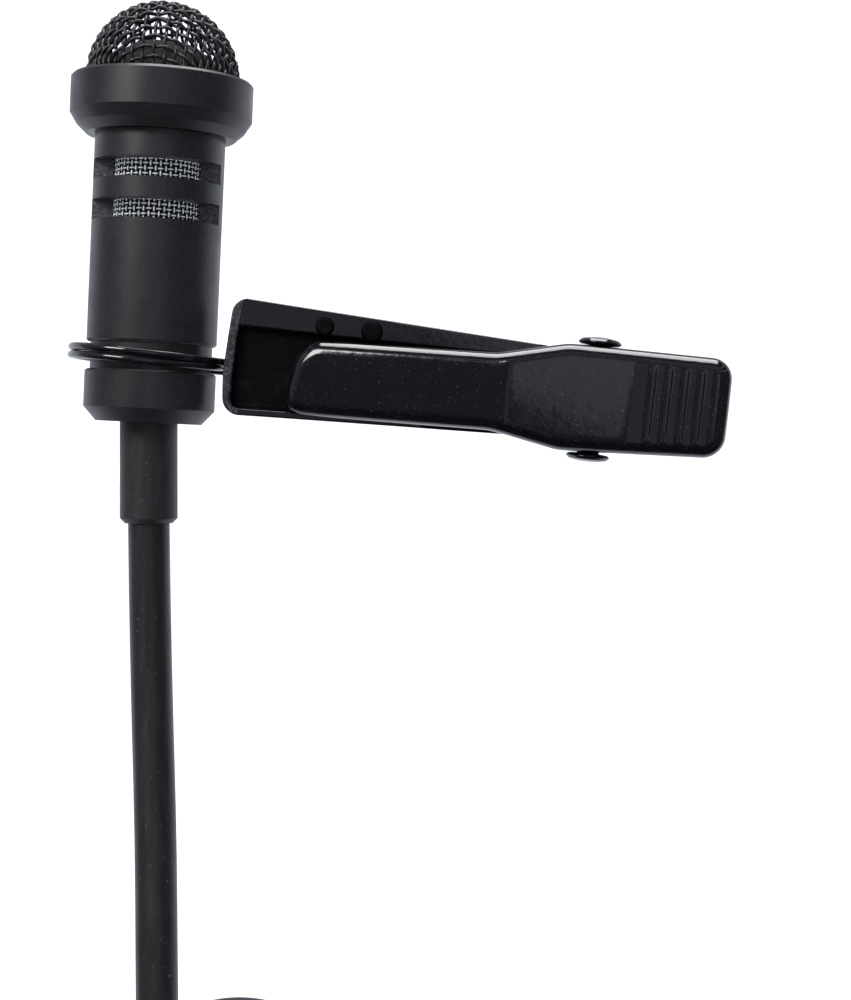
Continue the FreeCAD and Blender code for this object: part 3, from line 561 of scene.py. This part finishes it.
def make_tie():
    """Strap round the hank's waist."""
    low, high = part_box("hank_tie")
    centre = (low + high) / 2 / MM
    half = (high - low) / 2 / MM
    wall, corner = 0.8, 2.2
    points = []
    profile = [(0, -1), (0.3, -1.0), (0.8, -0.97), (1, -0.9), (1, -0.5), (1, 0), (1, 0.5),
               (1, 0.9), (0.8, 0.97), (0.3, 1.0), (0, 1)]
    path = []
    for quarter in range(4):
        sx = (1, -1, -1, 1)[quarter]
        sy = (1, 1, -1, -1)[quarter]
        for step in range(9):
            angle = math.pi / 2 * (quarter + step / 8)
            path.append(Vector((sx * (half.x - wall - corner) + corner * math.cos(angle),
                                sy * (half.y - wall - corner) + corner * math.sin(angle), 0)))
    count = len(path)
    for index, here in enumerate(path):
        along = path[(index + 1) % count] - path[index - 1]
        out = Vector((along.y, -along.x, 0)).normalized()
        ripple = 0.12 * math.sin(index * 1.3)
        for rise, height in profile:
            spot = here + out * wall * rise
            points.append((centre.x + spot.x, centre.y + spot.y,
                           centre.z + height * half.z + ripple))
    faces = grid_faces(count, len(profile), closed=True)
    last = (count - 1) * len(profile)
    wide = len(profile)
    faces += [(last + k, last + (k + 1) % wide, (k + 1) % wide, k) for k in range(wide)]
    tie = mesh_piece("hank_strap", points, faces, Matrix())
    return shown(tie, ["hank_tie"], "microphone", "tie")


cord = make_cord()
strap = make_tie()


# ---------------------------------------------------------------- dome and screen

DOME_TOP = 29.6
DOME_RADIUS = 6.4
DOME_WIRE = 0.14
DOME_PITCH = 0.89


def make_dome():
    """Plain weave pressed into a half ball: a net whose meshes keep their side and shear."""
    radius = DOME_RADIUS - 2 * DOME_WIRE
    centre = DOME_TOP - DOME_RADIUS
    step = DOME_PITCH / radius
    reach = int(math.pi / 2 / step) + 1
    net = {}
    for i in range(reach + 1):
        net[i, 0] = Vector((math.sin(i * step), 0, math.cos(i * step)))
        net[0, i] = Vector((0, math.sin(i * step), math.cos(i * step)))
    for i in range(1, reach + 1):
        for j in range(1, reach + 1):
            middle = (net[i - 1, j] + net[i, j - 1]).normalized()
            corner = net[i - 1, j - 1]
            net[i, j] = 2 * middle * middle.dot(corner) - corner

    def crossing(i, j):
        spot = net[abs(i), abs(j)]
        return Vector((spot.x * (1 if i >= 0 else -1), spot.y * (1 if j >= 0 else -1), spot.z))

    def wire(fixed, along_x):
        """The run of crossings of one wire that lies above the rim, over and under in turn."""
        run = []
        for moving in range(-reach, reach + 1):
            i, j = (moving, fixed) if along_x else (fixed, moving)
            if max(abs(i), abs(j)) > reach or crossing(i, j).z < -0.1:
                continue
            over = 1 if (i + j) % 2 == 0 else -1
            run.append((crossing(i, j), over if along_x else -over))
        line = []
        for (here, side), (after, _) in zip(run, run[1:]):
            for quarter in range(4):
                share = quarter / 4
                spot = here.lerp(after, share).normalized()
                line.append(spot * (radius + DOME_WIRE * side * math.cos(math.pi * share)))
        if run:
            here, side = run[-1]
            line.append(here.normalized() * (radius + DOME_WIRE * side))
        return [Vector((p.x, p.y, p.z + centre)) for p in line]

    lines = []
    for fixed in range(-reach, reach + 1):
        for along_x in (True, False):
            line = wire(fixed, along_x)
            if len(line) > 3:
                lines.append((line, False))
    dome = tubes("dome_weave", lines, DOME_WIRE, MIC)
    return shown(dome, ["dome_grille"], "microphone", "dome_wire")


def make_screen():
    """Plain weave rolled into a tube behind the slots."""
    low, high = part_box("side_screen")
    bottom = ((MIC.inverted() @ low).z) / MM
    top = ((MIC.inverted() @ high).z) / MM
    wire = 0.08
    radius = (high.x - low.x) / 2 / MM - 2 * wire
    uprights = 54
    pitch = math.tau * radius / uprights
    rows = int((top - bottom) / pitch)
    lines = []
    for row in range(rows):
        height = bottom + wire + (row + 0.3) * pitch + random.uniform(-0.03, 0.03)
        samples = uprights * 4
        line = []
        for k in range(samples):
            angle = math.tau * k / samples
            weave = wire * math.cos(math.pi * k / 4) * (-1) ** row
            line.append(((radius + weave) * math.cos(angle), (radius + weave) * math.sin(angle),
                         height + 0.02 * math.sin(5 * angle + row)))
        lines.append((line, True))
    for upright in range(uprights):
        angle = math.tau * upright / uprights + random.uniform(-0.006, 0.006)
        line = []
        for k in range((rows - 1) * 4 + 1):
            weave = -wire * math.cos(math.pi * k / 4) * (-1) ** upright
            line.append(((radius + weave) * math.cos(angle), (radius + weave) * math.sin(angle),
                         bottom + wire + (0.3 + k / 4) * pitch))
        lines.append((line, False))
    screen = tubes("screen_weave", lines, wire, MIC, sides=6)
    return shown(screen, ["side_screen"], "microphone", "screen_wire")


make_dome()
make_screen()


# ---------------------------------------------------------------- clip

PIN = CLIP.inverted() @ Vector(joints["lever_pivot"]["pos_m"]) / MM
SHEET = 0.8


def ease(value, low, high):
    """A smooth step from 0 at low to 1 at high."""
    share = min(1, max(0, (value - low) / (high - low)))
    return share * share * (3 - 2 * share)


def bent(x, corners, soft):
    """Height along straight runs between (x, height) corners, each bend softened."""
    total = corners[0][1]
    slope = 0
    for (x0, y0), (x1, y1) in zip(corners, corners[1:]):
        new = (y1 - y0) / (x1 - x0)
        t = (x - x0) / soft
        total += (new - slope) * soft * (t if t > 30 else math.log1p(math.exp(max(t, -60))))
        slope = new
    return total


def distances(points, loop):
    """How far each plan point is from a closed loop."""
    a = np.array(loop)
    b = np.roll(a, -1, axis=0)
    best = np.full(len(points), np.inf)
    for start, end in zip(a, b):
        run = end - start
        share = np.clip(((points - start) @ run) / max(run @ run, 1e-12), 0, 1)
        best = np.minimum(best, np.linalg.norm(points - start - share[:, None] * run, axis=1))
    return best


def spread(low, high, step, ends=0.0, fine=0.05):
    """Positions from low to high: fine near both ends, and coarser steps between."""
    if not ends:
        count = max(2, round((high - low) / step))
        return [low + (high - low) * k / count for k in range(count + 1)]
    first = [low + ends * (1 - math.cos(math.pi / 2 * k / 10)) for k in range(10)]
    last = [high - (x - low) for x in first]
    return first + spread(low + ends, high - ends, step) + last[::-1]


def around_grid(rows, columns):
    """The places of a grid's outermost points, in order round it."""
    rim = list(range(columns))
    rim += [row * columns + columns - 1 for row in range(1, rows)]
    rim += [(rows - 1) * columns + k for k in range(columns - 2, -1, -1)]
    rim += [row * columns for row in range(rows - 2, 0, -1)]
    return rim


def formed(stations, half, middle, front, back, slant, fillet, across):
    """Sheet formed towards the front (-Y), drawn over its plan outline.

    half, middle and back give the plan's half width, its middle and the flange's edge at each
    station; slant moves points along X to lean an end; front gives the face's level, and its edge
    is rounded by fillet.
    """
    plan = []
    for x in stations:
        reach = half(x)
        edge = min(fillet * 1.05 / reach, 0.45)
        row = [-1 + edge * (1 - math.cos(math.pi / 2 * k / 8)) for k in range(8)]
        core = [-1 + edge + (2 - 2 * edge) * k / across for k in range(across + 1)]
        row = row + core + [-s for s in row[::-1]]
        for share in row:
            z = middle(x) + reach * share
            plan.append((x + slant(x, z), z))
    columns = len(plan) // len(stations)
    rows = len(stations)
    rim = around_grid(rows, columns)
    plan = np.array(plan)
    away = distances(plan, plan[rim])
    points = []
    for (x, z), far in zip(plan, away):
        inside = max(0.0, fillet - far)
        drop = fillet - math.sqrt(max(0.0, fillet ** 2 - inside ** 2))
        points.append((x, front(x, z) + drop, z))
    faces = grid_faces(rows, columns)
    steps = 6
    ring = rim
    for step in range(1, steps + 1):
        new = []
        for k in rim:
            x, y, z = points[k]
            level = back(x)
            new.append(len(points))
            points.append((x, y + (level - y) * step / steps, z))
        count = len(rim)
        for k in range(count):
            after = (k + 1) % count
            faces.append((ring[after], ring[k], new[k], new[after]))
        ring = new
    return points, faces, ring, rows, columns


def facing_front(points, faces):
    """The faces wound so that the first grid's faces look towards -Y."""
    a, b, c = (Vector(points[k]) for k in faces[len(faces) // 3][:3])
    if (b - a).cross(c - a).y > 0:
        return [face[::-1] for face in faces]
    return faces


LEVER_SKEW = 0.0313


def make_lever():
    """Painted channel: rounded nose, crease, wide middle over the pin and ribbed thumb pad."""
    start, end = -0.7, 34.8
    nose, wide, pad = 3.13, 4.32, 3.98
    nose_corner, pad_corner = 2.3, 1.7
    crease, bend_at = 17.0, 26.8
    ribs, first_rib, rib_pitch, rib_height = 5, 28.4, 1.28, 0.09
    boss = 1.8

    def middle(x):
        return LEVER_SKEW * (x - PIN.x)

    def half(x):
        base = bent(x, ((-30, nose), (crease - 1, nose), (crease + 4.6, wide),
                        (bend_at - 1, wide - 0.08), (end, pad)), 0.22)
        for far, radius in ((x - start, nose_corner), (end - x, pad_corner)):
            if far < radius:
                base -= radius - math.sqrt(max(0, radius ** 2 - (radius - far) ** 2))
        return base

    def slant(x, z):
        """The nose's end leans: its lower corner reaches furthest."""
        share = (z - middle(x)) / nose
        reach = 0.35 * max(0, share) - 1.15 * max(0, -share) ** 1.6
        return reach * (1 - ease(x, start, start + 5))

    def front(x, z):
        level = bent(x, ((-30, -2.0), (-0.1, -2.0), (crease, -5.4), (bend_at, -5.4),
                         (end, -6.2)), 0.16)
        offset = (z - middle(x)) / half(x) if half(x) > 0.1 else 0
        level += 0.10 * offset ** 2
        for count in range(ribs):
            at = first_rib + rib_pitch * count
            ridge = math.exp(-((x - at) / 0.27) ** 4)
            level -= rib_height * ridge * (1 - ease(abs(z - middle(x)), 2.2, 3.6))
        return level

    def back(x):
        level = bent(x, ((-30, -0.06), (1.2, -0.06), (2.4, -0.75), (crease - 1, -3.5),
                         (bend_at + 1, -3.5), (end, -4.7)), 0.12)
        reach = boss ** 2 - (x - PIN.x) ** 2
        if reach > 0:
            level = max(level, PIN.y + math.sqrt(reach))
        return level

    stations = spread(start, 3.0, 0.12, 1.2) + spread(3.3, crease - 1, 0.3)
    stations += spread(crease - 0.95, crease + 1, 0.06) + spread(crease + 1.2, bend_at - 1, 0.2)
    stations += spread(bend_at - 0.9, end, 0.055, 1.0)
    points, faces, *_ = formed(sorted(set(stations)), half, middle, front, back, slant,
                               fillet=1.15, across=46)
    lever = mesh_piece("lever_shell", points, facing_front(points, faces), CLIP)
    wall = lever.modifiers.new("wall", "SOLIDIFY")
    wall.thickness = SHEET * MM
    wall.offset = -1
    return shown(lever, ["front_lever"], "lever", "gloss_black")


def make_jaw():
    """Painted tray: cut rim round its end, shelf along the top, neck and flared tail."""
    left, end = -6.15, 34.3
    rim = 0.9
    shank, neck = 21.0, 22.3
    tail, tail_bend = 27.0, 26.5
    round_radius = 1.3

    def top(x):
        if x < shank:
            return 5.2 + (4.03 - 5.2) * (x + 5.3) / (shank + 5.3)
        return 4.03 + (3.2 - 4.03) * ease(x, shank, neck)

    def bottom(x):
        if x < shank:
            return -4.45 + (4.45 - 3.42) * (x + 5.7) / (shank + 5.7)
        return -3.42 + 0.22 * ease(x, shank, neck)

    def corner(x):
        cut = 0
        for far in (x - left, end - x):
            if far < round_radius:
                inside = round_radius - far
                cut = round_radius - math.sqrt(max(0, round_radius ** 2 - inside ** 2))
        return cut

    def flare(x):
        return 0.5 * ease(x, tail - 0.5, tail + 1.5)

    def half(x):
        return (top(x) - bottom(x)) / 2 + flare(x) - corner(x)

    def middle(x):
        return (top(x) + bottom(x)) / 2

    def slant(x, z):
        """The end leans and bows a little."""
        lean = 0.3 * max(0, (z + 1) / 6.2) ** 1.4 + 0.3 * max(0, (-1 - z) / 3.25) ** 1.5
        return lean * (1 - ease(x, left, left + 6))

    def plan_edges(x, z):
        end_far = x - left - slant(x, z)
        low_far = z - bottom(x)
        if end_far < round_radius and low_far < round_radius:
            return round_radius - math.hypot(round_radius - end_far, round_radius - low_far)
        return min(end_far, low_far)

    def ramp(x):
        """How far the tail has bent back."""
        return max(0, x - tail_bend) * 2 / 7.8

    def front(x, z):
        edge = plan_edges(x, z)
        rim_width = 0.45 + 0.2 * ease(z, -4, -1.5)
        raised = 1 - ease(edge, rim_width, rim_width + 0.45)
        raised *= 1 - ease(x, 9.5, 13.5) if z < 0 and x - left > 2 else 1
        ledge = ease(z, 2.6, 3.0) * (1 - ease(x, 19.2, 21.8))
        return -rim * max(raised, ledge) + ramp(x)

    def back(x):
        return SHEET + ramp(x)

    stations = spread(left, left + 3, 0.08, 0.5) + spread(left + 3.1, 22.4, 0.14)
    stations += spread(22.6, end - 1.6, 0.25) + spread(end - 1.5, end, 0.08, 0.4)
    points, faces, ring, rows, columns = formed(
        sorted(set(stations)), half, middle, front, back, slant, fillet=0.16, across=96)
    grid = rows * columns
    first = len(points)
    for x, _, z in points[:grid]:
        points.append((x, back(x), z))
    faces = facing_front(points, faces)
    under = grid_faces(rows, columns, first)
    under = [f[::-1] for f in facing_front(points, under)]
    swap = {first + k: ring[n] for n, k in enumerate(around_grid(rows, columns))}
    under = [tuple(swap.get(k, k) for k in face) for face in under]
    jaw = mesh_piece("jaw_tray", points, faces + under, CLIP)
    shown(jaw, ["rear_jaw"], "clip", "gloss_black")
    jaw.data.materials.append(CUT_EDGE)
    # The third slot is painted shade: the tray's floor faces take the near-black dull paint that
    # stands for the lever's shade.
    jaw.data.materials.append(PAINTED_SHADE)
    for face in jaw.data.polygons[:(rows - 1) * (columns - 1)]:
        spot = sum((Vector(points[k]) for k in face.vertices), Vector()) / len(face.vertices)
        if plan_edges(spot.x, spot.z) < 0.72 and spot.y < -0.7 and spot.x < -4.6:
            face.material_index = 1
        elif spot.y > -0.72 and spot.x < 24:
            face.material_index = 2
    return jaw


def make_ears():
    """Two ears that carry the pin, bent up from the jaw's neck."""
    points, faces = [], []
    radius, half_width = 1.8, 3.2
    outline = [(PIN.x - radius, 0.3)]
    outline += [(PIN.x + radius * math.cos(a), PIN.y + radius * math.sin(a))
                for a in (math.pi + math.pi * k / 20 for k in range(21))]
    outline += [(PIN.x + radius, 0.3)]
    for low in (-half_width, half_width - SHEET):
        for height in (low, low + SHEET):
            points += [(x, y, height) for x, y in outline]
        count = len(outline)
        first = len(points) - 2 * count
        faces.append(tuple(first + k for k in range(count)))
        faces.append(tuple(first + count + k for k in range(count))[::-1])
        faces += [(first + k, first + count + k, first + count + (k + 1) % count,
                   first + (k + 1) % count) for k in range(count)]
    ears = mesh_piece("jaw_ears", points, faces, CLIP)
    edges = ears.modifiers.new("edges", "BEVEL")
    edges.width = 0.12 * MM
    edges.segments = 3
    return shown(ears, [], "clip", "gloss_black")


def make_pin():
    """Pin with a low domed head at each end."""
    half = [(0.9, 4.36, 0), (1.6, 4.42, 0.08), (1.82, 4.62, 0.1), (1.55, 4.88, 0.25),
            (0.9, 5.03, 0.4), (0.001, 5.06, 0)]
    lower = [(r, -z, f) for r, z, f in half[::-1]]
    place = CLIP @ Matrix.Translation(Vector((PIN.x, PIN.y, 0)) * MM)
    pin = lathe("pin_shape", lower + half, place, 64)
    return shown(pin, ["pivot_pin"], "clip", "gloss_black")


def make_ring():
    """Wire ring: two turns round the groove and two legs behind the jaw."""
    loop = 6.0
    centre = -0.55
    corner = loop / math.cos(math.radians(28.6))
    step = 0.34
    leg = -1.145

    def turn(height):
        angles = [math.radians(-65.6 - 57.2 * count) for count in range(5)]
        return [(centre + corner * math.cos(a), corner * math.sin(a), height) for a in angles]

    points = [(17.6, leg, 4.9), (12.8, leg, 4.9), (8.4, leg, step), (6.15, leg, step)]
    points += turn(step) + [(7.35, 0, 0)] + turn(-step)
    points += [(6.6, 0.55, -step), (8.6, -0.75, -step), (12.8, leg, 3.4), (17.6, leg, 3.4)]
    ring = spline("ring_wire", points, 0.325, RING, 16)
    return shown(ring, ["mic_ring"], "clip", "black_wire")


def make_rivets():
    """Flat worn rivet heads on the shelf, and their closed heads behind the bracket, all in the
    painted-shade black.
    """
    for name, x, reach in (("rivet_near_end", 1.76, 0.78), ("rivet_far_end", 5.66, 0.9)):
        half = [(0.001, -0.1, 0), (reach * 0.75, -0.12, 0.1), (reach, 0, 0), (0.4, 0.001, 0),
                (0.4, 2.9, 0), (reach, 2.9, 0), (reach * 0.6, 3.2, 0.1), (0.001, 3.22, 0)]
        place = CLIP @ Matrix.Translation(Vector((x, -0.9, 3.58)) * MM)
        place = place @ Matrix.Rotation(-math.pi / 2, 4, "X")
        rivet = lathe(name, half, place, 32)
        shown(rivet, ["ring_rivets"], "clip", "gloss_black")
        # The heads are painted shade: near-black dull paint so that they read dark, as if in shade.
        rivet.data.materials[0] = PAINTED_SHADE


def make_foam():
    """Open foam plug in the foot of the dome, a little lumpy."""
    profile = [(0.001, 21.3, 0), (5.3, 21.3, 0.1), (5.25, 23.4, 0.8), (4.0, 24.9, 1.2),
               (2.4, 26.0, 1.0), (0.001, 26.15, 0)]
    line = rounded_profile(profile, 8)
    around = 96
    points = []
    for spot in line:
        for k in range(around):
            angle = math.tau * k / around
            lump = 1 + 0.012 * math.sin(7 * angle + spot.y * 3) + random.uniform(-0.008, 0.008)
            points.append((spot.x * lump * math.cos(angle), spot.x * lump * math.sin(angle),
                           spot.y))
    foam = mesh_piece("foam_shape", points, grid_faces(len(line), around, closed=True), MIC)
    shown(foam, ["foam_plug"], "microphone", "foam")


make_lever()
make_jaw()
make_ears()
make_pin()
make_ring()
make_rivets()
make_foam()


# ---------------------------------------------------------------- light and floor

class Field:
    """Numbers worked out from the direction of a ray, for the surround."""

    def __init__(self, tree):
        self.tree = tree
        where = tree.nodes.new("ShaderNodeTexCoord")
        split = tree.nodes.new("ShaderNodeSeparateXYZ")
        tree.links.new(where.outputs["Generated"], split.inputs[0])
        self.x, self.y, self.z = split.outputs

    def math(self, operation, *values):
        """One arithmetic node on numbers or other nodes' results."""
        node = self.tree.nodes.new("ShaderNodeMath")
        node.operation = operation
        for socket, value in zip(node.inputs, values):
            if isinstance(value, (int, float)):
                socket.default_value = value
            else:
                self.tree.links.new(value, socket)
        return node.outputs[0]

    def step(self, value, low, high, to=1.0):
        """Rises smoothly from 0 at low to a level at high."""
        node = self.tree.nodes.new("ShaderNodeMapRange")
        node.interpolation_type = "SMOOTHSTEP"
        turned = low > high
        for key, number in (("From Min", min(low, high)), ("From Max", max(low, high)),
                            ("To Min", to if turned else 0), ("To Max", 0 if turned else to)):
            node.inputs[key].default_value = number
        self.tree.links.new(value, node.inputs["Value"])
        return node.outputs["Result"]

    def product(self, *values):
        total = values[0]
        for value in values[1:]:
            total = self.math("MULTIPLY", total, value)
        return total

    def highest(self, *values):
        total = values[0]
        for value in values[1:]:
            total = self.math("MAXIMUM", total, value)
        return total


def make_world():
    """White surround, but glossy rays see a dim room: wall behind, window, pane and lamps."""
    world = bpy.data.worlds.new("surround")
    scene.world = world
    world.use_nodes = True
    tree = world.node_tree
    tree.nodes.clear()
    field = Field(tree)
    x, y, z = field.x, field.y, field.z
    wall = field.product(field.step(y, 0.04, 0.5),
                         field.math("SUBTRACT", 1, field.step(z, 0.15, 0.6, 0.72)))
    left = field.product(field.step(x, -0.45, -0.95), field.step(z, -0.6, 0.1, 0.3))
    right = field.step(x, 0.6, 1.0, 0.08)
    sill = field.math("MULTIPLY_ADD", x, 1.33, z)
    window = field.product(field.step(x, -0.03, 0.0), field.step(x, 0.5, 0.3),
                           field.step(sill, 0.062, 0.078), field.step(z, 0.5, 0.3, 0.62))
    pane = field.product(field.step(x, -0.25, -0.16), field.step(x, -0.01, -0.03),
                         field.step(z, -0.5, -0.3), field.step(z, 0.5, 0.3, 0.3))
    lamps = field.highest(
        field.product(field.step(z, 0.5, 0.53), field.step(z, 0.6, 0.57, 0.7)),
        field.product(field.step(z, 0.7, 0.73), field.step(z, 0.8, 0.77, 0.7)),
        field.step(z, 0.9, 0.95, 0.6),
    )
    room = field.product(field.step(y, 0.4, -1.0, 0.1), field.step(z, -0.8, -0.2))
    shine = field.highest(wall, left, right, window, pane, lamps, room)
    path = tree.nodes.new("ShaderNodeLightPath")
    pick = tree.nodes.new("ShaderNodeMix")
    light = tree.nodes.new("ShaderNodeBackground")
    out = tree.nodes.new("ShaderNodeOutputWorld")
    tree.links.new(path.outputs["Is Glossy Ray"], pick.inputs["Factor"])
    pick.inputs[2].default_value = 1.35
    light.inputs["Color"].default_value = (0.91, 0.95, 1.05, 1)
    tree.links.new(shine, pick.inputs[3])
    tree.links.new(pick.outputs[0], light.inputs["Strength"])
    tree.links.new(light.outputs[0], out.inputs[0])


def soft_box(name, place, aim, width, height, power):
    """A rectangular soft light that points at a spot; places in millimetres."""
    data = bpy.data.lights.new(name, "AREA")
    data.shape = "RECTANGLE"
    data.size = width * MM
    data.size_y = height * MM
    data.energy = power
    data.specular_factor = 0.12
    light = bpy.data.objects.new(name, data)
    scene.collection.objects.link(light)
    light.location = Vector(place) * MM
    toward = Vector(aim) * MM - light.location
    light.rotation_euler = toward.to_track_quat("-Z", "Y").to_euler()
    return light


def make_floor():
    low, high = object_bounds()
    wide = 6.0
    mesh = bpy.data.meshes.new("floor")
    level = low.z - 2 * MM
    mesh.from_pydata([(-wide, -wide, level), (wide, -wide, level), (wide, wide, level),
                      (-wide, wide, level)], [], [(0, 1, 2, 3)])
    floor = bpy.data.objects.new("floor", mesh)
    scene.collection.objects.link(floor)
    nodes = Nodes("floor", (0.93, 0.93, 0.93), 0.8)
    nodes.tint(nodes.ranged(nodes.noise(0.02, 3), 0.4, 0.7, 0, 0.3), (0.96, 0.96, 0.96))
    mesh.materials.append(nodes.material)
    floor.visible_glossy = False


make_world()
make_floor()
soft_box("key", (-260, -300, 240), (0, 0, 0), 200, 200, 1.6)
soft_box("top", (20, 60, 420), (10, 0, 0), 300, 300, 2.0)

scene.view_settings.view_transform = "Standard"
